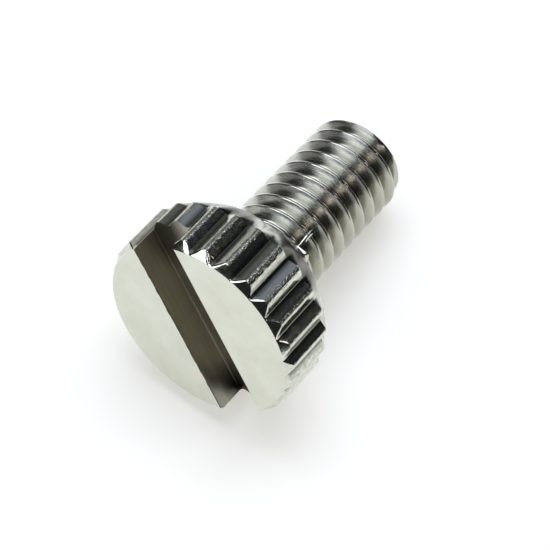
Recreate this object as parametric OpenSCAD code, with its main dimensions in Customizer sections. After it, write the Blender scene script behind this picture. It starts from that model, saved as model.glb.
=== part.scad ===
// Fluted slotted screw, one piece, lying as it comes to rest.
// All sizes in millimetres.

/* [Head] */
// Diameter over the lands of the fluted rim
head_diameter = 8; // [6:0.1:12]
// Head height from the slotted face to the seat
head_height = 3.3; // [2.4:0.1:6]
// Bevel of the slotted face, measured along the radius
front_bevel_radial = 0.23; // [0.05:0.01:0.5]
// Bevel of the slotted face, measured along the axis
front_bevel_axial = 0.33; // [0.05:0.01:0.6]
// Bevel towards the seat, measured along the radius
rear_bevel_radial = 0.72; // [0.2:0.01:1.2]
// Bevel towards the seat, measured along the axis
rear_bevel_axial = 0.95; // [0.2:0.01:1.2]

/* [Flutes] */
// Number of flutes around the rim
flute_count = 26; // [18:2:36]
// Depth of each flute below the lands
flute_depth = 0.23; // [0.1:0.01:0.3]
// Angle between the two flat walls of a flute
flute_angle = 120; // [100:2:140]
// Rounding at the bottom of a flute
flute_rounding = 0.15; // [0.05:0.01:0.2]

/* [Driver slot] */
// Width of the slot
slot_width = 2; // [0.8:0.1:2.6]
// Depth of the slot
slot_depth = 1.2; // [0.6:0.1:1.6]
// Angle from the lowest flute to the slot
slot_turn = -39.5; // [-90:0.5:90]

/* [Shank] */
// Length from the seat to the tip
shank_length = 7.7; // [5:0.1:30]
// Outside diameter of the thread
thread_diameter = 3.96; // [3.8:0.01:4]
// Rise of the thread in one turn
thread_pitch = 0.7; // [0.5:0.05:1]
// Angle of a thread crest from the lowest flute, at the seat
thread_turn = 355; // [0:5:355]
// Plain length under the head before the thread starts
neck_length = 0.7; // [0.4:0.1:2]
// How much the plain neck stands over the thread, on the radius
neck_step = 0.02; // [0.01:0.01:0.05]
// Length over which the thread reaches its full depth
run_out = 0.4; // [0.2:0.05:1]
// Bevel of the tip, 45 degrees
tip_bevel = 0.45; // [0.44:0.01:0.7]

/* [Hidden] */

// Steps in a full circle of the turned faces and the thread, and along a flute's rounding
turned_steps = 4 * flute_count;
thread_steps = 36;
rounding_steps = 6;

head_radius = head_diameter / 2;
face_radius = head_radius - front_bevel_radial;
seat_radius = head_radius - rear_bevel_radial;
land_end = head_height - rear_bevel_axial;
total_length = head_height + shank_length;
// Overshoot of every cutting body past the face it cuts
past = 1;

// Flutes: flat walls that would meet in a line, with a rounding in between
wall_angle = flute_angle / 2;
rounding_centre = head_radius - flute_depth + flute_rounding;
walls_meet = rounding_centre - flute_rounding / sin(wall_angle);
mouth = (head_radius + past - walls_meet) * tan(wall_angle);

// Metric thread form: 60 degree flanks, crest an eighth of the pitch
crest_radius = thread_diameter / 2;
neck_radius = crest_radius + neck_step;
thread_depth = 0.6134 * thread_pitch;
root_radius = crest_radius - thread_depth;
crest_width = thread_pitch / 8;
flank_width = thread_depth * tan(30);
thread_start = head_height + neck_length;
// The thread's lower end sits inside the neck, halfway along it
thread_foot = head_height + neck_length / 2;
tip_radius = crest_radius - tip_bevel;
// Axial place of the four edges of the thread form, counted from a crest's middle
edge_at = [-crest_width / 2, crest_width / 2,
           crest_width / 2 + flank_width, thread_pitch - crest_width / 2 - flank_width];
edge_radius = [crest_radius, crest_radius, root_radius, root_radius];

// A crest on the lowest line, at or above the seat
crest_at_seat = head_height + thread_pitch * (1 - thread_turn / 360);
// First crest of the helix, wholly below the thread's start
first_crest = crest_at_seat
    + thread_pitch * floor((thread_start - thread_pitch - crest_at_seat) / thread_pitch);
turns = ceil((total_length + crest_width - first_crest) / thread_pitch);
helix_steps = turns * thread_steps;
// Edges nearer than this to an end are moved onto it
end_snap = 0.02;

// Rest: two lands and the last whole crest on the lowest line touch the ground
land_edge_angle = min(180 / flute_count,
                      wall_angle - asin(walls_meet * sin(wall_angle) / head_radius));
land_edge_radius = walls_meet * sin(wall_angle) / sin(wall_angle - land_edge_angle);
land_drop = land_edge_radius * cos(land_edge_angle);
last_crest = crest_at_seat + crest_width / 2 + thread_pitch
    * floor((total_length - tip_bevel - crest_width / 2 - crest_at_seat) / thread_pitch);
rest_tilt = atan((land_drop - crest_radius) / (last_crest - land_end));
rest_height = land_drop * cos(rest_tilt) + land_end * sin(rest_tilt);
rest_low_x = -face_radius * sin(rest_tilt);
rest_high_x = tip_radius * sin(rest_tilt) + total_length * cos(rest_tilt);

// Height, radius and point of one thread edge after a number of helix steps
function edge_height(step, edge) = first_crest + thread_pitch * step / thread_steps + edge_at[edge];
function edge_reach(edge, height) = min(
    max(edge_radius[edge], crest_radius - thread_depth * (height - thread_start) / run_out),
    tip_radius + total_length - height);
function around(step, radius, height) = [
    radius * cos(360 * step / thread_steps), radius * sin(360 * step / thread_steps), height];

// Number of a point: the two end rings first, then four edges for each helix step
function ring_point(ring, step) = ring * thread_steps + step % thread_steps;
function edge_point(step, edge) =
    edge == 4 ? edge_point(step + thread_steps, 0)
    : edge_height(step, edge) <= thread_start + end_snap ? ring_point(0, step)
    : edge_height(step, edge) >= total_length - end_snap ? ring_point(1, step)
    : 2 * thread_steps + 4 * step + edge;

// Threaded length as one closed helical skin with flat ends
module thread() {
    bottom_ring = [for (s = [0:thread_steps - 1]) around(s, crest_radius, thread_foot)];
    top_ring = [for (s = [0:thread_steps - 1]) around(s, tip_radius, total_length)];
    edges = [for (s = [0:helix_steps + thread_steps], e = [0:3])
        around(s, edge_reach(e, edge_height(s, e)), edge_height(s, e))];
    skin = [for (s = [0:helix_steps - 1], e = [0:3])
        let (a = edge_point(s, e), b = edge_point(s, e + 1),
             c = edge_point(s + 1, e + 1), d = edge_point(s + 1, e))
        each [[a, b, c], [a, c, d]]];
    whole = [for (f = skin) if (f[0] != f[1] && f[1] != f[2] && f[0] != f[2]) f];
    caps = [[for (s = [0:thread_steps - 1]) ring_point(0, s)],
            [for (s = [thread_steps - 1:-1:0]) ring_point(1, s)]];
    polyhedron(points = concat(bottom_ring, top_ring, edges), faces = concat(whole, caps));
}

// Head and plain neck, turned about the axis with the slotted face at zero
module turned_blank() {
    rotate_extrude($fn = turned_steps)
        polygon([[0, 0], [face_radius, 0], [head_radius, front_bevel_axial],
                 [head_radius, land_end], [seat_radius, head_height],
                 [neck_radius, head_height], [neck_radius, thread_start], [0, thread_start]]);
}

// Section of one flute: two walls that open outwards and the rounding at the bottom
module flute_section() {
    bottom = [for (i = [0:rounding_steps])
        let (a = 90 + wall_angle + i * (180 - flute_angle) / rounding_steps)
        [rounding_centre + flute_rounding * cos(a), flute_rounding * sin(a)]];
    polygon(concat([[head_radius + past, mouth]], bottom, [[head_radius + past, -mouth]]));
}

// Straight flutes along the rim, one of them on the lowest line
module flutes() {
    for (i = [0:flute_count - 1])
        rotate([0, 0, i * 360 / flute_count])
            translate([0, 0, -past])
                linear_extrude(height = head_height + 2 * past)
                    flute_section();
}

// Straight slot across the face
module driver_slot() {
    rotate([0, 0, slot_turn])
        translate([-head_radius - past, -slot_width / 2, -past])
            cube([2 * (head_radius + past), slot_width, slot_depth + past]);
}

module screw() {
    color([0.78, 0.77, 0.74])
        translate([-(rest_low_x + rest_high_x) / 2, 0, rest_height])
            rotate([0, 90 + rest_tilt, 0])
                union() {
                    difference() {
                        turned_blank();
                        flutes();
                        driver_slot();
                    }
                    thread();
                }
}

screw();
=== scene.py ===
# %% [markdown]
# # A bright nickel-plated screw
# A short machine screw with a fluted round head lies on a pale table. It is one turned piece with a
# thin coat of bright nickel, so nearly all that the eye sees on it is a reflection. The lesson has
# three parts: a skin with true small roundings, a plating with the marks of its making, and a plain
# studio for the metal to mirror.

import math

import bmesh
import bpy
import numpy as np
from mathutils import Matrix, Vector


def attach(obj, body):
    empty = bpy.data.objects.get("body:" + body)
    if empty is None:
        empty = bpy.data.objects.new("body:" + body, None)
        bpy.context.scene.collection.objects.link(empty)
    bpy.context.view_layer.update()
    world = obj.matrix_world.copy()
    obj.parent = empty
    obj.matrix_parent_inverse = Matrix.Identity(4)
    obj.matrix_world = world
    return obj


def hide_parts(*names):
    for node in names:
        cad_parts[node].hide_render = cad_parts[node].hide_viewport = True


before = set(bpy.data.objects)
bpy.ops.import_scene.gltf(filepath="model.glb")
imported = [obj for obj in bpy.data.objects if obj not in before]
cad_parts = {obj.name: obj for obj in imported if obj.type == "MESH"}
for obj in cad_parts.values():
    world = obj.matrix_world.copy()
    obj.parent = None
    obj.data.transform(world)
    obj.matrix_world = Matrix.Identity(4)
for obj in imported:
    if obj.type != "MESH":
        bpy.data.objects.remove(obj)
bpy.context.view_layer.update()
print("solids of the part:", sorted(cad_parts))

# %% [markdown]
# ## Sizes
# The screw is drawn in its own axes first: zero at the slotted face, height growing towards the
# tip, and the lowest flute on the x axis. All sizes are millimetres and are those of the part.

# %% Sizes of the screw
head_radius, head_height = 4.0, 3.3
face_radius, front_bevel = 3.77, 0.33
seat_radius, rear_bevel = 3.28, 0.95
flute_count, flute_depth, flute_rounding = 26, 0.23, 0.15
wall_angle = math.radians(120 / 2)
slot_width, slot_depth, slot_turn = 2.0, 1.2, math.radians(-39.5)
total_length, crest_radius, neck_radius = 11.0, 1.98, 2.0
pitch, thread_start, run_out, tip_bevel = 0.7, 4.0, 0.4, 0.45
# Half the crest's width and the depth of a standard metric thread
half_crest, thread_depth = pitch / 16, 0.6134 * pitch
# How far the thread is turned about the axis, as a share of a whole turn
thread_turn = 355 / 360
crest_at_seat = head_height + pitch * (1 - thread_turn)
land_end = head_height - rear_bevel
tip_radius = crest_radius - tip_bevel
rounding_centre = head_radius - flute_depth + flute_rounding
walls_meet = rounding_centre - flute_rounding / math.sin(wall_angle)
print("head", 2 * head_radius, "mm wide, thread M4 x", pitch, "and", total_length, "mm over all")

# %% [markdown]
# ## How it lies
# A screw on a table rests on two lands of its wide head and on the last whole crest of its thread,
# so its axis falls towards the tip. The same sum gives the tilt in the part's source. Every point
# goes through `on_table` on its way from the screw's own axes to the table, in metres, and
# `own_axes` brings it back when a pattern needs to know where on the screw it is.

# %% From the screw's axes to the table and back
land_edge = wall_angle - math.asin(walls_meet * math.sin(wall_angle) / head_radius)
land_drop = head_radius * math.cos(land_edge)
whole_crests = math.floor((total_length - tip_bevel - half_crest - crest_at_seat) / pitch)
last_crest = crest_at_seat + half_crest + pitch * whole_crests
tilt = math.atan((land_drop - crest_radius) / (last_crest - land_end))
lift = land_drop * math.cos(tilt) + land_end * math.sin(tilt)
low_x = -face_radius * math.sin(tilt)
high_x = tip_radius * math.sin(tilt) + total_length * math.cos(tilt)
middle_x = (low_x + high_x) / 2
mm_per_metre = 1000


def on_table(points):
    x, y, z = np.asarray(points, float).T
    s, c = math.sin(tilt), math.cos(tilt)
    placed = [c * z - s * x - middle_x, y, lift - c * x - s * z]
    return np.column_stack(placed) / mm_per_metre


def own_axes(points):
    x, y, z = np.asarray(points, float).T * mm_per_metre
    s, c = math.sin(tilt), math.cos(tilt)
    forward, down = x + middle_x, lift - z
    return np.column_stack([c * down - s * forward, y, c * forward + s * down])


print("the axis falls", round(math.degrees(tilt), 2), "degrees towards the tip")

# %% [markdown]
# ## The head's outline
# Turned metal never has a knife edge: the tool and the plating leave a small rounding, and on
# bright metal that rounding is the thin line of light along every edge. So the outline is a list of
# corners, each with its own rounding, and one helper swaps each corner for a short arc. A second
# one cuts the straight runs into steps, fine where the flutes run out and coarse elsewhere.

# %% Outline with rounded corners
arc_points = 6


def rounded_outline(corners):
    points = [np.array(corners[0][:2])]
    for before, here, after in zip(corners, corners[1:], corners[2:]):
        corner, radius = np.array(here[:2]), here[2]
        into, out = np.array(before[:2]) - corner, np.array(after[:2]) - corner
        into, out = into / np.linalg.norm(into), out / np.linalg.norm(out)
        half_angle = math.acos(np.clip(into @ out, -1, 1)) / 2
        middle = (into + out) / np.linalg.norm(into + out)
        centre = corner + middle * radius / math.sin(half_angle)
        run = radius / math.tan(half_angle)
        start, end = corner + into * run, corner + out * run
        for t in np.linspace(0, 1, arc_points):
            swing = start * (1 - t) + end * t - centre
            points.append(centre + swing / np.linalg.norm(swing) * radius)
    return points + [np.array(corners[-1][:2])]


# Each corner: distance from the axis, height and rounding
outline = rounded_outline([
    (face_radius - 0.12, 0, 0),
    (face_radius, 0, 0.03),
    (head_radius, front_bevel, 0.05),
    (head_radius, land_end, 0.10),
    (seat_radius, head_height, 0.12),
    (neck_radius, head_height, 0.06),
    (neck_radius, thread_start, 0.015),
    (neck_radius / 2, thread_start, 0),
])
print("head outline:", len(outline), "points")

# %% Rings along the outline
inside_flutes = 3.74
coarse_step, land_step, bevel_step = 0.8, 0.06, 0.02


def ring_step(radius, height):
    if radius < inside_flutes:
        return coarse_step
    return land_step if front_bevel < height < land_end else bevel_step


rings_at = [outline[0]]
for a, b in zip(outline, outline[1:]):
    steps = math.ceil(np.linalg.norm(b - a) / ring_step(*(a + b) / 2))
    rings_at += [a + (b - a) * k / steps for k in range(1, steps + 1)]
print("rings of the head:", len(rings_at))

# %% [markdown]
# ## Flutes
# The rim was knurled: a hardened wheel pressed flat-walled flutes into it and left a narrow land
# between each two. A boolean would cut them with razor edges. Here each ring of the head asks two
# questions at every angle, how far out the turned blank reaches and how far out the flute's wall
# lies, and takes the smaller with a soft change-over, which is the rounded edge of the land. A
# knurl is never quite even, so each flute is shifted and raised by a hair and its walls are bowed.

# %% Angles round the rim
chance = np.random.default_rng(26)
# Degrees from a flute's middle to the land, closest together where the surface turns
half_flute = np.array([0, 0.35, 0.7, 1.0, 1.3, 2.2, 3.4, 4.6, 5.2, 5.5, 5.75, 6.0, 6.25, 6.55])
flute_pitch = 360 / flute_count
one_flute = np.concatenate([-half_flute[:0:-1], half_flute, [flute_pitch / 2]])
angles = np.radians(np.concatenate([one_flute + flute_pitch * i for i in range(flute_count)]))
flute = np.repeat(np.arange(flute_count), len(one_flute))
uneven_degrees, uneven_mm = 0.08, 0.005
shift = np.radians(chance.normal(0, uneven_degrees, flute_count))
raised = np.abs(chance.normal(0, uneven_mm, flute_count))
from_middle = np.abs(angles - np.radians(flute * flute_pitch) - shift[flute])
print("points on each ring:", len(angles))

# %% Where the flutes' walls lie
wall_bow = 0.003
under = np.clip(flute_rounding**2 - (rounding_centre * np.sin(from_middle)) ** 2, 0, None)
flute_bottom = rounding_centre * np.cos(from_middle) - np.sqrt(under)
flat_wall = walls_meet * math.sin(wall_angle) / np.sin(wall_angle - from_middle)
touch = math.atan2(flute_rounding * math.cos(wall_angle), walls_meet)
up_wall = np.clip((from_middle - touch) / (land_edge - touch), 0, 1)
bowed_wall = flat_wall - wall_bow * 4 * up_wall * (1 - up_wall)
flute_wall = np.where(from_middle < touch, flute_bottom, bowed_wall) + raised[flute]
print("flutes reach in to", round(flute_wall.min(), 3), "mm from the axis")

# %% [markdown]
# ## From rings to a solid
# Rings of equal count close into a skin: a quad between each two neighbours and one face over each
# end. Booleans need a closed skin whose faces all look outwards, so each solid has its normals made
# consistent before it is used.

# %% Skins and solids
def soft_min(a, b, blend):
    near = np.clip(blend - np.abs(a - b), 0, None) / blend
    return np.minimum(a, b) - near**2 * blend / 4


def closed_skin(rings):
    count, faces = len(rings[0]), []
    for k in range(len(rings) - 1):
        a, b = k * count, (k + 1) * count
        faces += [(a + i, b + i, b + (i + 1) % count, a + (i + 1) % count) for i in range(count)]
    faces.append(tuple(range(count)))
    faces.append(tuple(reversed(range((len(rings) - 1) * count, len(rings) * count))))
    return np.concatenate(rings), faces


def solid(name, points, faces):
    mesh = bpy.data.meshes.new(name)
    mesh.from_pydata(on_table(points).tolist(), [], faces)
    work = bmesh.new()
    work.from_mesh(mesh)
    bmesh.ops.recalc_face_normals(work, faces=work.faces)
    work.to_mesh(mesh)
    work.free()
    piece = bpy.data.objects.new(name, mesh)
    bpy.context.collection.objects.link(piece)
    print(name, "has", len(faces), "faces")
    return piece


# %% [markdown]
# ## Skin of the head
# Screws are tipped out of a barrel on top of each other, so the narrow lands are dented along their
# edges. Each dent is a small push inwards by chance, and one side of the rim has most of them. They
# are true shape and not bump, because the light runs along these edges.

# %% Head with dented lands
fluted_from, fluted_to = face_radius - 0.05, head_height - 0.4
land_rounding, skin_dent, edge_dent = 0.045, 0.0010, 0.007
battered_side = math.radians(190)
# Degrees from a flute's middle to the dented edge of the land, and how far the dents spread
dents_at, dents_spread = 5.7, 0.4
battered = (0.5 + 0.5 * np.cos(angles - battered_side)) ** 2
on_edge = battered * np.exp(-(((np.degrees(from_middle) - dents_at) / dents_spread) ** 2))
head_rings = []
for radius, height in rings_at:
    reach = np.full(len(angles), radius)
    level = np.full(len(angles), height)
    if radius > fluted_from and height < fluted_to:
        reach = soft_min(reach, flute_wall, land_rounding)
    if front_bevel < height < land_end:
        reach -= np.abs(chance.normal(0, 1, len(angles))) * (skin_dent + edge_dent * on_edge)
    head_rings.append(np.column_stack([reach * np.cos(angles), reach * np.sin(angles), level]))
screw = solid("plated_screw", *closed_skin(head_rings))

# %% [markdown]
# ## Thread
# A machine thread is one groove that climbs the shank. Blender's Screw modifier would make it too,
# but not the fade under the head or the bevelled tip. So the groove's section is a short row of
# points with a round root and crest edges that are only just broken, each point climbs as it turns,
# and points past either end slide onto that end. The die that cut it left the crests a little ragged.

# %% Section of the groove
around = 72
# Millimetres from the crest's middle, closest together round its edge
one_side = [0.0265, 0.033, 0.0385, 0.044, 0.0495, 0.055, 0.061, 0.12, 0.19, 0.24, 0.27, 0.295, 0.32]
section = np.array([-pitch / 2] + [-t for t in reversed(one_side)] + [0] + one_side)
root_blend, crest_blend, tip_blend, crest_tear = 0.05, 0.03, 0.10, 0.0025
flank_angle = math.radians(60 / 2)
flank = (np.abs(section) - half_crest) / math.tan(flank_angle)
drops = -soft_min(-soft_min(flank, thread_depth, root_blend), 0.0, crest_blend)
below_start = thread_start - 1.5 * pitch
first_crest = crest_at_seat + pitch * math.floor((below_start - crest_at_seat) / pitch)
turns = math.ceil((total_length + pitch / 2 - first_crest) / pitch) + 1
ragged = np.abs(chance.normal(0, crest_tear, (turns + 2) * around))
print("groove:", len(section), "points across and", turns, "turns")

# %% Points of the thread
foot_height, foot_radius = thread_start - 0.3, crest_radius - 0.01
end_radius = tip_radius - 0.02
fade_margin, tip_margin = 0.01, 0.012
thread_points, number = [], {}


def thread_reach(step, height, drop):
    fade = np.clip((height - thread_start) / run_out, 0, 1) * thread_depth
    groove = crest_radius - soft_min(drop, fade, root_blend) - ragged[step] * (drop < crest_blend)
    return float(soft_min(groove, tip_radius + total_length - height, tip_blend))


def thread_point(step, edge):
    if edge == len(section):
        return thread_point(step + around, 0)
    height = first_crest + pitch * step / around + section[edge]
    key, radius = (step, edge), None
    if height <= thread_start + fade_margin:
        key, radius, height = ("foot", step % around), foot_radius, foot_height
    elif height >= total_length - tip_margin:
        key, radius, height = ("tip", step % around), end_radius, total_length
    if key not in number:
        number[key] = len(thread_points)
        radius = radius or thread_reach(step, height, drops[edge])
        turn = 2 * math.pi * step / around
        thread_points.append((radius * math.cos(turn), radius * math.sin(turn), height))
    return number[key]


print("thread radius:", foot_radius, "mm at the foot and", round(end_radius, 3), "mm at the end")

# %% Skin of the thread
thread_faces = []
for step in range(turns * around):
    for edge in range(len(section)):
        loop = [thread_point(step, edge), thread_point(step + 1, edge),
                thread_point(step + 1, edge + 1), thread_point(step, edge + 1)]
        loop = [p for k, p in enumerate(loop) if p != loop[k - 1]]
        if len(loop) > 2 and len(set(loop)) == len(loop):
            thread_faces.append(tuple(loop))
for end in ("foot", "tip"):
    thread_faces.append(tuple(number[end, i] for i in range(around)))
thread = solid("thread", thread_points, thread_faces)

# %% [markdown]
# ## Burr
# Where the die first bit, it left a torn chip of metal and a whisker that lies across the first
# crests. Both are rings of points around a short line, pushed in and out by chance, so that their
# facets catch the light one by one.

# %% Chip and whisker at the start of the thread
chip_turn, chip_height, chip_step = math.radians(-136), thread_start + 0.12, 0.10
chip_reach, chip_lean, chip_rough = 2.02, 0.02, 0.33
chip_thick = [0.08, 0.20, 0.26, 0.30, 0.26, 0.19, 0.07]
whisker_turn, whisker_height, whisker_step = math.radians(-144), thread_start + 0.32, 0.19
whisker_reach, whisker_lift, whisker_sway, whisker_rough = 1.99, 0.01, 0.02, 0.15
whisker_thick = [0.06] * 6 + [0.04, 0.02]
ring_points, flatness = 8, 1.3


def torn_rings(turn, line, thick, rough):
    out = np.array([math.cos(turn), math.sin(turn)])
    side = np.array([-math.sin(turn), math.cos(turn)])
    round_it = np.linspace(0, 2 * math.pi, ring_points, endpoint=False)
    rings = []
    for (sideways, reach, height), width in zip(line, thick):
        swell = width * (1 + chance.normal(0, rough, ring_points))
        outwards = np.outer(reach + swell * np.cos(round_it), out)
        across = np.outer(sideways + flatness * swell * np.sin(round_it), side)
        rings.append(np.column_stack([outwards + across, np.full(ring_points, height)]))
    return rings


chip_line = [(chip_lean * k, chip_reach, chip_height + chip_step * k) for k in range(-3, 4)]
chip_rings = torn_rings(chip_turn, chip_line, chip_thick, chip_rough)
chip = solid("chip", *closed_skin(chip_rings))
whisker_line = [
    (whisker_sway * math.sin(k), whisker_reach + whisker_lift * math.sin(2 * k),
     whisker_height + whisker_step * k)
    for k in range(len(whisker_thick))
]
whisker_rings = torn_rings(whisker_turn, whisker_line, whisker_thick, whisker_rough)
whisker = solid("whisker", *closed_skin(whisker_rings))

# %% [markdown]
# ## Slot
# A saw cuts the slot straight across after the head is turned and fluted, and a boolean does the
# same job here. The cutter's sides flare a few hundredths where they leave the face, so the slot's
# long edges come out with the small broken corner that deburring leaves, frayed a little on the way.

# %% The saw
half_slot, edge_break, saw_steps = slot_width / 2, 0.03, 90
fray, frayed_above = 0.004, 0.02
corner = 0.3 * edge_break
past_head = head_radius + 0.5
saw_half = [
    (half_slot - 2 * edge_break, slot_depth), (half_slot - edge_break, slot_depth),
    (half_slot - corner, slot_depth - corner), (half_slot, slot_depth - edge_break),
    (half_slot, slot_depth - 2 * edge_break), (half_slot, 2 * edge_break), (half_slot, edge_break),
    (half_slot + corner, corner), (half_slot + edge_break, 0), (half_slot + edge_break, -1),
]
across, down = np.array(saw_half + [(-v, z) for v, z in reversed(saw_half)]).T
c, s = math.cos(slot_turn), math.sin(slot_turn)
saw_cuts = []
for along in np.linspace(-past_head, past_head, saw_steps):
    torn = np.abs(chance.normal(0, fray, len(across))) * (down < frayed_above)
    frayed = across + np.sign(across) * torn
    saw_cuts.append(np.column_stack([along * c - frayed * s, along * s + frayed * c, down]))
saw = solid("saw", *closed_skin(saw_cuts))

# %% Saw the slot and join the thread
def combine(base, tool, operation):
    step = base.modifiers.new(operation, "BOOLEAN")
    step.operation, step.object, step.solver = operation, tool, "EXACT"
    shaped = base.evaluated_get(bpy.context.evaluated_depsgraph_get())
    mesh = bpy.data.meshes.new_from_object(shaped)
    base.modifiers.clear()
    base.data = mesh
    bpy.data.objects.remove(tool)


combine(screw, saw, "DIFFERENCE")
for grown in (whisker, chip, thread):
    combine(screw, grown, "UNION")
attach(screw, "root")
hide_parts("screw")
print("screw skin:", sum(len(p.vertices) - 2 for p in screw.data.polygons), "triangles")

# %% [markdown]
# ## Places on the screw
# The patterns of the plating follow the screw and not the table, so each vertex keeps its place in the
# screw's own axes, in millimetres, as an attribute that the materials read. A second one says how far
# down a flute the vertex lies, from 0 on the land to 1 at the bottom, for the shade painted there.

# %% Attributes for the patterns
mesh = screw.data
own_place = own_axes(np.array([v.co for v in mesh.vertices]))
blank = np.interp(own_place[:, 2], [0, front_bevel, land_end, head_height],
                  [face_radius, head_radius, head_radius, seat_radius])
below_land = np.clip((blank - np.hypot(own_place[:, 0], own_place[:, 1])) / flute_depth, 0, 1)
mesh.attributes.new("own_place", "FLOAT_VECTOR", "POINT").data.foreach_set("vector", own_place.ravel())
mesh.attributes.new("below_land", "FLOAT", "POINT").data.foreach_set("value", below_land)
print("places kept for", len(own_place), "vertices")

# %% [markdown]
# ## One skin, five finishes
# The face is bright, the rim is pressed, the slot is dull from the saw, the thread satin from the
# die and the back of the head still has the lathe's lines. One mesh can carry several materials, so
# each face is told apart by where its middle lies. Corners sharper than 32 degrees stay sharp. The
# plane faces are not smoothed at all: a mirror shows even a trace of borrowed normals as streaks.

# %% Tell the finishes apart
middles = own_axes(np.array([p.center for p in mesh.polygons]))
height_at, radius_at = middles[:, 2], np.hypot(middles[:, 0], middles[:, 1])
beside_slot = np.abs(middles[:, 1] * math.cos(slot_turn) - middles[:, 0] * math.sin(slot_turn))
rim_inside, back_inside, hair = 3.5, 1.5, 0.001
slot_starts, rim_starts, back_starts, thread_from = 0.02, 0.04, land_end + 0.05, thread_start + 0.005
below_face = (height_at > slot_starts) & (height_at < slot_depth + hair)
in_slot = (beside_slot < half_slot + hair) & below_face
on_thread = height_at > thread_from
on_rim = (radius_at > rim_inside) & (height_at > rim_starts) & (height_at < back_starts)
on_back = (height_at > back_starts) & (radius_at > back_inside)
finish_of_face = np.select([in_slot, on_thread, on_rim, on_back], [1, 2, 3, 4], 0)
print("faces bright, sawn, threaded, knurled, turned:", np.bincount(finish_of_face))

# %% Smooth the curved faces only
crease, nearly_square = math.radians(32), 0.9999
axis = (math.cos(tilt), 0, -math.sin(tilt))
plane_face = np.abs(np.array([p.normal for p in mesh.polygons]) @ axis) >= nearly_square
mesh.set_sharp_from_angle(angle=crease)
# The line above makes every face smooth, so the plane ones are set after it
mesh.polygons.foreach_set("use_smooth", ~plane_face)
print("plane faces:", plane_face.sum())

# %% [markdown]
# ## Node helper
# Each finish is a small net of nodes. One helper adds a node, sets what is named and plugs in what
# is given, so a pattern reads as a list of its steps; a node given as an input stands for its
# output. Colours are written as the hex values that a painter would pick, and one function turns
# them to the linear light Blender needs. Every finish here is metal, with Blender's default IOR.

# %% Colours and nodes
def colour(hex_value):
    srgb = [int(hex_value[i:i + 2], 16) / 255 for i in (1, 3, 5)]
    return tuple(v / 12.92 if v <= 0.04045 else ((v + 0.055) / 1.055) ** 2.4 for v in srgb) + (1.0,)


def plug(net, node, **inputs):
    for key, value in inputs.items():
        if key[0] == "_":
            socket = node.inputs[int(key[1:])]
        else:
            socket = next(s for s in node.inputs if s.enabled and s.name == key.replace("_", " "))
        if isinstance(value, bpy.types.Node):
            value = next(s for s in value.outputs if s.enabled)
        if isinstance(value, bpy.types.NodeSocket):
            net.links.new(value, socket)
        else:
            socket.default_value = value


def add(net, kind, settings=(), **inputs):
    node = net.nodes.new(kind)
    for key, value in dict(settings).items():
        if key != "stops":
            setattr(node, key, value)
            continue
        for k, (at, shade) in enumerate(value):
            stop = node.color_ramp.elements[k] if k < 2 else node.color_ramp.elements.new(at)
            stop.position, stop.color = at, colour(shade)
    plug(net, node, **inputs)
    return node


def new_metal(name):
    metal = bpy.data.materials.new(name)
    metal.use_nodes = True
    net = metal.node_tree
    place = add(net, "ShaderNodeAttribute", {"attribute_name": "own_place"}).outputs["Vector"]
    plug(net, net.nodes["Principled BSDF"], Metallic=1.0)
    return metal, net, net.nodes["Principled BSDF"], place


print("middle grey in linear light:", round(colour("#808080")[0], 3))

# %% [markdown]
# ## Bright nickel plating
# Bright nickel is a white metal mirror, a touch yellow beside chrome. Tumbling with other screws
# leaves hairlines, handling leaves faint clouds, and the coat is never quite flat. The clouds only
# change the colour by a shade, the hairlines and the slow waves bend the reflection. Hairlines are
# about 0.01 mm wide, too fine for this picture, so they are drawn three times as wide.

# %% Bright nickel on the face
bright, net, shader, place = new_metal("bright_nickel_plate")
cloud_mm, wave_mm, hairline_mm = 1.6, 0.35, 0.03
cloud_tones = [(0.36, "#CFD1C2"), (0.62, "#D8DACD"), (0.74, "#DED5C6")]
clouds = add(net, "ShaderNodeTexNoise", Vector=place, Scale=1 / cloud_mm, Detail=4.0, Roughness=0.6)
tint = add(net, "ShaderNodeValToRGB", {"stops": cloud_tones}, Fac=clouds)
stretched = add(net, "ShaderNodeMapping", Vector=place, Rotation=(0.4, 0.7, 0.9),
                Scale=(1 / hairline_mm, 0.5, 0.8))
hairlines = add(net, "ShaderNodeTexNoise", Vector=stretched, Scale=1.0, Detail=3.0, Roughness=0.7)
gloss = add(net, "ShaderNodeMapRange", Value=hairlines, From_Min=0.3, From_Max=0.8,
            To_Min=0.10, To_Max=0.22)
scratched = add(net, "ShaderNodeBump", Height=hairlines, Strength=0.3, Distance=1.2e-6)
waves = add(net, "ShaderNodeTexNoise", Vector=place, Scale=1 / wave_mm, Detail=2.0)
wavy = add(net, "ShaderNodeBump", Height=waves, Strength=0.6, Distance=6e-6, Normal=scratched)
plug(net, shader, Base_Color=tint, Roughness=gloss, Normal=wavy)
print("bright nickel: clouds of", cloud_mm, "mm and hairlines of", hairline_mm, "mm")
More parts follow.
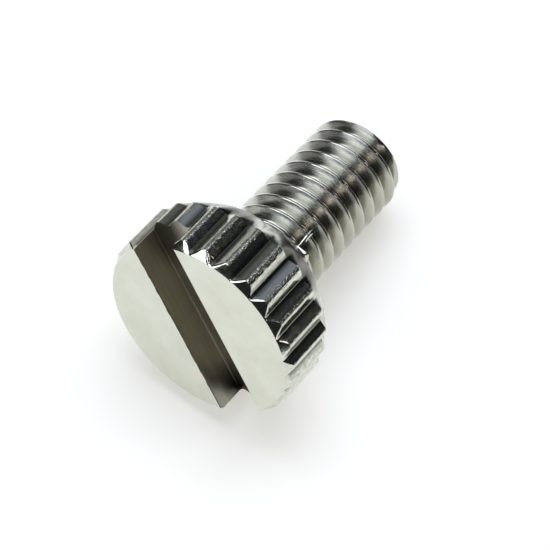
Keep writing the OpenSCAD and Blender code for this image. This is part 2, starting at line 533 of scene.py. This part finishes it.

# %% [markdown]
# ## Knurled rim
# The rim carries the same plating over pressed metal. The wheel pushes the metal up in small grains
# that are drawn out along the flutes, and plating builds up as fine beads on the raised edges. The
# bottom of each flute is painted dark as painted shade. So the mirror is broken up: grains bend it,
# dull ones lie beside bright ones, and each flute ends in a painted dark line of shade.

# %% Grains and painted shade on the rim
knurled, net, shader, place = new_metal("knurled_nickel_plate")
grain_mm, drawn_mm = 0.11, 0.20
drawn = add(net, "ShaderNodeMapping", {"vector_type": "TEXTURE"}, Vector=place,
            Scale=(grain_mm, grain_mm, drawn_mm))
grains = add(net, "ShaderNodeTexNoise", Vector=drawn, Scale=1.0, Detail=3.0, Roughness=0.6)
tint = add(net, "ShaderNodeValToRGB", {"stops": [(0.34, "#C4C6B9"), (0.64, "#D8DACD")]}, Fac=grains)
deep = add(net, "ShaderNodeAttribute", {"attribute_name": "below_land"}).outputs["Fac"]
# Painted shade: the colour turns dark towards the bottom of each flute
painted_flute_shade = add(net, "ShaderNodeMapRange", {"interpolation_type": "SMOOTHSTEP"}, Value=deep,
            From_Min=0.42, From_Max=1.0, To_Max=0.78)
tint_with_flute_shade = add(net, "ShaderNodeMix", {"data_type": "RGBA"}, Factor=painted_flute_shade, A=tint, B=colour("#3B3932"))
plug(net, shader, Base_Color=tint_with_flute_shade)
print("knurled rim: grains of", grain_mm, "by", drawn_mm, "mm")

# %% Beads on the lands
bead_mm = 0.07
crown_starts, crown_full = 3.965, 3.99


def from_axis(net, place):
    level = add(net, "ShaderNodeVectorMath", {"operation": "MULTIPLY"}, _0=place, _1=(1, 1, 0))
    return add(net, "ShaderNodeVectorMath", {"operation": "LENGTH"}, _0=level)


reach = from_axis(net, place)
on_crown = add(net, "ShaderNodeMapRange", Value=reach, From_Min=crown_starts, From_Max=crown_full)
gloss = add(net, "ShaderNodeMapRange", Value=grains, From_Min=0.3, From_Max=0.7,
            To_Min=0.20, To_Max=0.08)
worn = add(net, "ShaderNodeMath", {"operation": "MULTIPLY_ADD"}, _0=on_crown, _1=0.10, _2=gloss)
beads = add(net, "ShaderNodeTexNoise", Vector=place, Scale=1 / bead_mm, Detail=1.0)
built_up = add(net, "ShaderNodeMath", {"operation": "MULTIPLY_ADD"}, _0=on_crown, _1=2.0, _2=0.3)
bead_height = add(net, "ShaderNodeMath", {"operation": "MULTIPLY"}, _0=built_up, _1=beads)
beaded = add(net, "ShaderNodeBump", Height=bead_height, Strength=0.7, Distance=6e-6)
pressed = add(net, "ShaderNodeBump", Height=grains, Strength=0.8, Distance=1.0e-6, Normal=beaded)
plug(net, shader, Roughness=worn, Normal=pressed)
print("beads of", bead_mm, "mm on the lands")

# %% [markdown]
# ## Sawn slot
# A slitting saw leaves lines along the slot, and plating hardly builds up in a deep narrow cut. So the
# slot is darker and duller than the face, a brownish grey with streaks. The streaks are noise squeezed
# across the slot and drawn out along it; one tooth mark is about 0.05 mm wide. The deep corner at the
# lower end and the floor at the upper one are painted dark as painted shade.

# %% Saw lines in the slot
sawn, net, shader, place = new_metal("sawn_thin_nickel")
tooth_mm, streak_mm = 0.05, 3.0
squeezed = add(net, "ShaderNodeMapping", {"vector_type": "TEXTURE"}, Vector=place,
               Rotation=(0, 0, slot_turn), Scale=(streak_mm, tooth_mm, tooth_mm * 2))
streaks = add(net, "ShaderNodeTexNoise", Vector=squeezed, Scale=1.0, Detail=3.0, Roughness=0.65)
tint = add(net, "ShaderNodeValToRGB", {"stops": [(0.3, "#B0AC9D"), (0.72, "#C4C1B2")]}, Fac=streaks)
dull = add(net, "ShaderNodeMapRange", Value=streaks, From_Min=0.3, From_Max=0.7,
           To_Min=0.28, To_Max=0.38)
toothed = add(net, "ShaderNodeBump", Height=streaks, Strength=0.6, Distance=1.0e-6)
plug(net, shader, Roughness=dull, Normal=toothed)
print("sawn slot: tooth marks of", tooth_mm, "mm")

# %% Painted shade at the slot's ends
turned = add(net, "ShaderNodeMapping", {"vector_type": "TEXTURE"}, Vector=place,
             Rotation=(0, 0, slot_turn))
in_the_slot = add(net, "ShaderNodeSeparateXYZ", Vector=turned).outputs
lengthwise, sideways, deep = in_the_slot["X"], in_the_slot["Y"], in_the_slot["Z"]
# Millimetres along, across and down the slot where the painted shade begins and where it is darkest
low_end = add(net, "ShaderNodeMapRange", Value=lengthwise, From_Min=2.2, From_Max=3.5)
low_corner = add(net, "ShaderNodeMapRange", Value=deep, From_Min=0.45, From_Max=1.1)
painted_low_shade = add(net, "ShaderNodeMath", {"operation": "MULTIPLY"}, _0=low_end, _1=low_corner)
high_end = add(net, "ShaderNodeMapRange", Value=lengthwise, From_Min=-1.8, From_Max=-2.8, To_Max=0.6)
floor = add(net, "ShaderNodeMapRange", Value=deep, From_Min=1.0, From_Max=1.18)
by_wall = add(net, "ShaderNodeMapRange", Value=sideways, From_Min=-0.55, From_Max=0.15)
high_floor = add(net, "ShaderNodeMath", {"operation": "MULTIPLY"}, _0=high_end, _1=floor)
painted_high_shade = add(net, "ShaderNodeMath", {"operation": "MULTIPLY"}, _0=high_floor, _1=by_wall)
painted_slot_shade = add(net, "ShaderNodeMath", {"operation": "MAXIMUM"}, _0=painted_low_shade, _1=painted_high_shade)
# Painted shade: the deep corner at the lower end and the floor by one wall at the upper end are
# darkened
tint_with_slot_shade = add(net, "ShaderNodeMix", {"data_type": "RGBA"}, Factor=painted_slot_shade, A=tint, B=colour("#37342B"))
plug(net, shader, Base_Color=tint_with_slot_shade)
print("dried oil at both ends of the slot")

# %% [markdown]
# ## Marks that run round
# Die lines, lathe rings and painted shade on one side all follow the turn of the screw. Cylinder
# coordinates suit them, so `unroll` gives the angle about the axis, the distance from it and the height
# along it. `arc` is a soft mask for a patch at one angle, and it keeps clear of the axis, where a patch
# would close to the point of a wedge.

# %% Cylinder coordinates and patches
arc_fade = 0.06


def unroll(net, place):
    xyz = add(net, "ShaderNodeSeparateXYZ", Vector=place).outputs
    turn = add(net, "ShaderNodeMath", {"operation": "ARCTAN2"}, _0=xyz["Y"], _1=xyz["X"])
    return turn, from_axis(net, place), xyz["Z"]


def arc(net, turn, reach, middle, full, gone, beyond):
    inner, outer = (math.cos(math.radians(a)) for a in (full, gone))
    away = add(net, "ShaderNodeMath", {"operation": "SUBTRACT"}, _0=turn, _1=math.radians(middle))
    near = add(net, "ShaderNodeMath", {"operation": "COSINE"}, _0=away)
    patch = add(net, "ShaderNodeMapRange", {"interpolation_type": "SMOOTHSTEP"}, Value=near,
                From_Min=outer, From_Max=inner)
    outside = add(net, "ShaderNodeMapRange", Value=reach, From_Min=beyond, From_Max=beyond + arc_fade)
    return add(net, "ShaderNodeMath", {"operation": "MULTIPLY"}, _0=patch, _1=outside)


print("patches fade out over", arc_fade, "mm towards the axis")

# %% [markdown]
# ## Thread from the die
# A die tears the metal a little as it turns, so the flanks carry fine lines that run round the screw
# and the plating over them is satin, not bright. The colour is painted pale on the crests and on the
# tip's bevel as painted highlight and dark down in the root as painted shade, and one side of the
# thread is painted a shade darker.

# %% Painted shade in the root and painted highlight on the crests
threaded, net, shader, place = new_metal("die_cut_nickel")
blotch_mm = 0.35
root_radius = crest_radius - thread_depth
turn, reach, height = unroll(net, place)
# The tip's bevel counts as crest, so it gets the painted highlight
at_tip = add(net, "ShaderNodeMapRange", Value=height, From_Min=total_length - tip_bevel,
             From_Max=total_length, To_Max=5 * tip_bevel)
outwards = add(net, "ShaderNodeMath", {"operation": "ADD"}, _0=reach, _1=at_tip)
# Painted shade and painted highlight: the colour runs from dark at the root to pale at the crest
painted_root_shade_crest_light = add(net, "ShaderNodeMapRange", Value=outwards, From_Min=root_radius, From_Max=crest_radius,
           To_Min=-0.1, To_Max=0.7)
blotches = add(net, "ShaderNodeTexNoise", Vector=place, Scale=1 / blotch_mm, Detail=4.0, Roughness=0.65)
blotches_and_painted_light = add(net, "ShaderNodeMath", {"operation": "MULTIPLY_ADD"}, _0=blotches, _1=0.35, _2=painted_root_shade_crest_light)
tint = add(net, "ShaderNodeValToRGB", {"stops": [(0.0, "#9F9E92"), (0.9, "#DCDDD6")]}, Fac=blotches_and_painted_light)
# Painted shade: one side of the thread is darkened a little
painted_side_shade = arc(net, turn, reach, middle=-105, full=15, gone=42, beyond=root_radius - 0.03)
painted_shade_tint = add(net, "ShaderNodeMix", {"data_type": "RGBA", "blend_type": "MULTIPLY"}, Factor=painted_side_shade,
             A=tint, B=colour("#DEDDD6"))
plug(net, shader, Base_Color=painted_shade_tint)
print("thread: blotches of", blotch_mm, "mm, coat from", round(root_radius, 3), "mm outwards")

# %% Lines that run round
line_mm, torn_mm = 0.05, 0.9
unrolled = add(net, "ShaderNodeCombineXYZ", X=turn, Y=reach, Z=height)
squeezed = add(net, "ShaderNodeMapping", {"vector_type": "TEXTURE"}, Vector=unrolled,
               Scale=(torn_mm / crest_radius, line_mm, line_mm))
lines = add(net, "ShaderNodeTexNoise", Vector=squeezed, Scale=1.0, Detail=3.0, Roughness=0.6)
satin = add(net, "ShaderNodeMapRange", Value=lines, From_Min=0.3, From_Max=0.7,
            To_Min=0.17, To_Max=0.29)
rubbed = add(net, "ShaderNodeMapRange", Value=outwards, From_Min=crest_radius - 0.06,
             From_Max=crest_radius - 0.01, To_Max=0.08)
gloss = add(net, "ShaderNodeMath", {"operation": "SUBTRACT"}, _0=satin, _1=rubbed)
torn = add(net, "ShaderNodeBump", Height=lines, Strength=0.6, Distance=4e-6)
plug(net, shader, Roughness=gloss, Normal=torn)
print("thread: lines of", line_mm, "mm")

# %% [markdown]
# ## Turned back of the head
# The bevel behind the rim, the seat and the neck are as the lathe left them: fine rings, and a coat
# that came out cloudy because this side lay against other screws in the plating barrel. The rings blur
# the reflection, the clouds darken it a little, and two patches of the bevel are painted dark as
# painted dark reflections.

# %% Turned satin nickel behind the rim
turned_back, net, shader, place = new_metal("turned_satin_nickel")
ring_mm, haze_mm, ring_sweep = 0.06, 1.3, 1.5
turn, reach, height = unroll(net, place)
unrolled = add(net, "ShaderNodeCombineXYZ", X=turn, Y=reach, Z=height)
squeezed = add(net, "ShaderNodeMapping", {"vector_type": "TEXTURE"}, Vector=unrolled,
               Scale=(ring_sweep, ring_mm, ring_mm))
rings = add(net, "ShaderNodeTexNoise", Vector=squeezed, Scale=1.0, Detail=2.0)
ringed = add(net, "ShaderNodeBump", Height=rings, Strength=0.5, Distance=3e-6)
haze = add(net, "ShaderNodeTexNoise", Vector=place, Scale=1 / haze_mm, Detail=4.0, Roughness=0.6)
blurred = add(net, "ShaderNodeMapRange", Value=haze, From_Min=0.35, From_Max=0.65,
              To_Min=0.28, To_Max=0.18)
tint = add(net, "ShaderNodeValToRGB", {"stops": [(0.36, "#B2B2AC"), (0.62, "#DEDFD8")]}, Fac=haze)
# Painted dark reflections: two patches of the bevel at fixed angles are painted dark
painted_wide_dark = arc(net, turn, reach, middle=-146, full=11, gone=21, beyond=seat_radius)
painted_small_dark = arc(net, turn, reach, middle=169, full=5, gone=12, beyond=seat_radius)
painted_dark_patches = add(net, "ShaderNodeMath", {"operation": "MAXIMUM"}, _0=painted_wide_dark, _1=painted_small_dark)
painted_shade_tint = add(net, "ShaderNodeMix", {"data_type": "RGBA"}, Factor=painted_dark_patches, A=tint, B=colour("#5A5953"))
plug(net, shader, Base_Color=painted_shade_tint, Roughness=blurred, Normal=ringed)
print("turned back: rings of", ring_mm, "mm under a haze of", haze_mm, "mm")

# %% [markdown]
# ## Give each face its finish
# Five separate pieces would need seams, and a real screw has none. So the mesh holds the five
# materials in a row, and each face holds the number of its own one.

# %% Materials on the mesh
mesh.materials.clear()
for metal in (bright, sawn, threaded, knurled, turned_back):
    mesh.materials.append(metal)
mesh.polygons.foreach_set("material_index", finish_of_face.astype(np.int32))
print("finishes:", [metal.name for metal in mesh.materials])

# %% [markdown]
# ## Table
# The screw lies on a matt white card, on a larger pale table. The paper is lit a little from below,
# as on a light table, so that it stays white and the shadow is faint. Only the card shows in the
# metal: beyond it the reflections are dark, and that edge gives the rim and the thread their contrast.

# %% White card and pale table
paper = bpy.data.materials.new("matt_white_paper")
paper.use_nodes = True
plug(paper.node_tree, paper.node_tree.nodes["Principled BSDF"], Base_Color=colour("#F4F4F2"),
     Roughness=0.9, Emission_Color=colour("#FFFDF6"), Emission_Strength=0.32)
card_radius, card_thickness, table_side = 0.045, 0.0003, 1.2
bpy.ops.mesh.primitive_circle_add(vertices=128, radius=card_radius, fill_type="NGON")
card = bpy.context.object
card.name = "white_card"
bpy.ops.mesh.primitive_plane_add(size=table_side, location=(0, 0, -card_thickness))
table = bpy.context.object
table.name = "pale_table"
table.visible_glossy = False
for sheet in (card, table):
    sheet.data.materials.append(paper)
print("card", 2 * card_radius, "m wide on a table of", table_side, "m")

# %% [markdown]
# ## Camera
# A long lens looks down on the head from a little over 9 cm, as in close-up product pictures. Its
# place was found from the outlines of the face, the slot and the shank.

# %% Camera
camera_place, looks_at = Vector((-0.032855, -0.02308, 0.081034)), Vector((0.00018, 0.000292, 0))
camera_heading = math.radians(35.3)
gaze = looks_at - camera_place
lens = bpy.data.cameras.new("camera")
lens.sensor_width, lens.lens = 36, 154.5
lens.clip_start, lens.clip_end = 0.005, 10
camera = bpy.data.objects.new("camera", lens)
camera.location = camera_place
camera.rotation_euler = gaze.to_track_quat("-Z", "Y").to_euler()
bpy.context.collection.objects.link(camera)
bpy.context.scene.camera = camera
bpy.context.scene.view_settings.view_transform = "Standard"
print("camera", round(gaze.length, 3), "m away, heading", round(math.degrees(camera_heading), 1))

# %% [markdown]
# ## Light
# A mirror shows its surroundings, so on this screw the lamps are shapes and not only light. Each
# soft box is placed by the direction it lies in, as the camera sees it: bearing 0 is straight away
# from the camera and grows to its left, rise is degrees above the table, and wide and high are the
# degrees that the box fills. Brightness is what the metal shows, whatever the size of the box.

# %% Soft boxes
world = bpy.data.worlds.new("dim_room")
world.use_nodes = True
plug(world.node_tree, world.node_tree.nodes["Background"], Color=colour("#26282A"), Strength=1.0)
bpy.context.scene.world = world
box_distance = 0.5


def soft_box(name, bearing, rise, wide, high, brightness, tint="#FFFFFF", shape="RECTANGLE"):
    turn, up = camera_heading + math.radians(bearing), math.radians(rise)
    towards = (math.cos(up) * math.cos(turn), math.cos(up) * math.sin(turn), math.sin(up))
    place = Vector(towards) * box_distance
    lamp = bpy.data.lights.new(name, "AREA")
    lamp.shape, lamp.color = shape, colour(tint)[:3]
    lamp.size, lamp.size_y = (2 * box_distance * math.tan(math.radians(a) / 2) for a in (wide, high))
    filled = math.pi / 4 if shape == "ELLIPSE" else 1
    lamp.energy = brightness * math.pi * filled * lamp.size * lamp.size_y
    box = bpy.data.objects.new(name, lamp)
    box.location = place
    box.rotation_euler = (-place).to_track_quat("-Z", "Y").to_euler()
    bpy.context.collection.objects.link(box)
    return box


print("soft boxes stand", box_distance, "m from the screw")

# %% [markdown]
# ## What each lamp gives
# The dish lights the paper, the paper in turn fills the flat face, and the dish itself is the broad
# band along the thread. The key box and the warm lamp are rows of glints on the thread's two sides. The
# window box fills the paper in front, the front card lifts the slot and the thread's near flanks, and
# the front window adds a trace. The far lamps each light a few walls of the flutes. Four tent walls
# light only the paper, because the metal does not see them, and the key box lights only the metal.

# %% Lamps of the studio
soft_box("overhead_dish", bearing=-5, rise=69, wide=54, high=38, brightness=3.4, tint="#EEF3FF",
         shape="ELLIPSE")
key_box = soft_box("key_box", bearing=84, rise=56, wide=24, high=22, brightness=4.2)
key_box.visible_diffuse = False
soft_box("window_box", bearing=134, rise=38, wide=30, high=42, brightness=0.95, tint="#F2F6FF")
soft_box("warm_lamp", bearing=-84, rise=40, wide=12, high=8, brightness=4.6, tint="#FFF3EE")
soft_box("far_card", bearing=18, rise=5, wide=26, high=14, brightness=0.5)
soft_box("front_card", bearing=146, rise=7, wide=104, high=24, brightness=0.24)
soft_box("front_window", bearing=142, rise=14, wide=34, high=14, brightness=0.28)
soft_box("far_glow", bearing=4, rise=23, wide=24, high=12, brightness=0.12)
soft_box("far_sky", bearing=-15, rise=36, wide=26, high=20, brightness=0.3, tint="#DCE6FF")
for bearing in (0, 90, 180, 270):
    wall = soft_box("tent_wall_" + str(bearing), bearing, rise=35, wide=80, high=50, brightness=0.42)
    wall.visible_glossy = False
print("lamps:", len(bpy.data.lights))
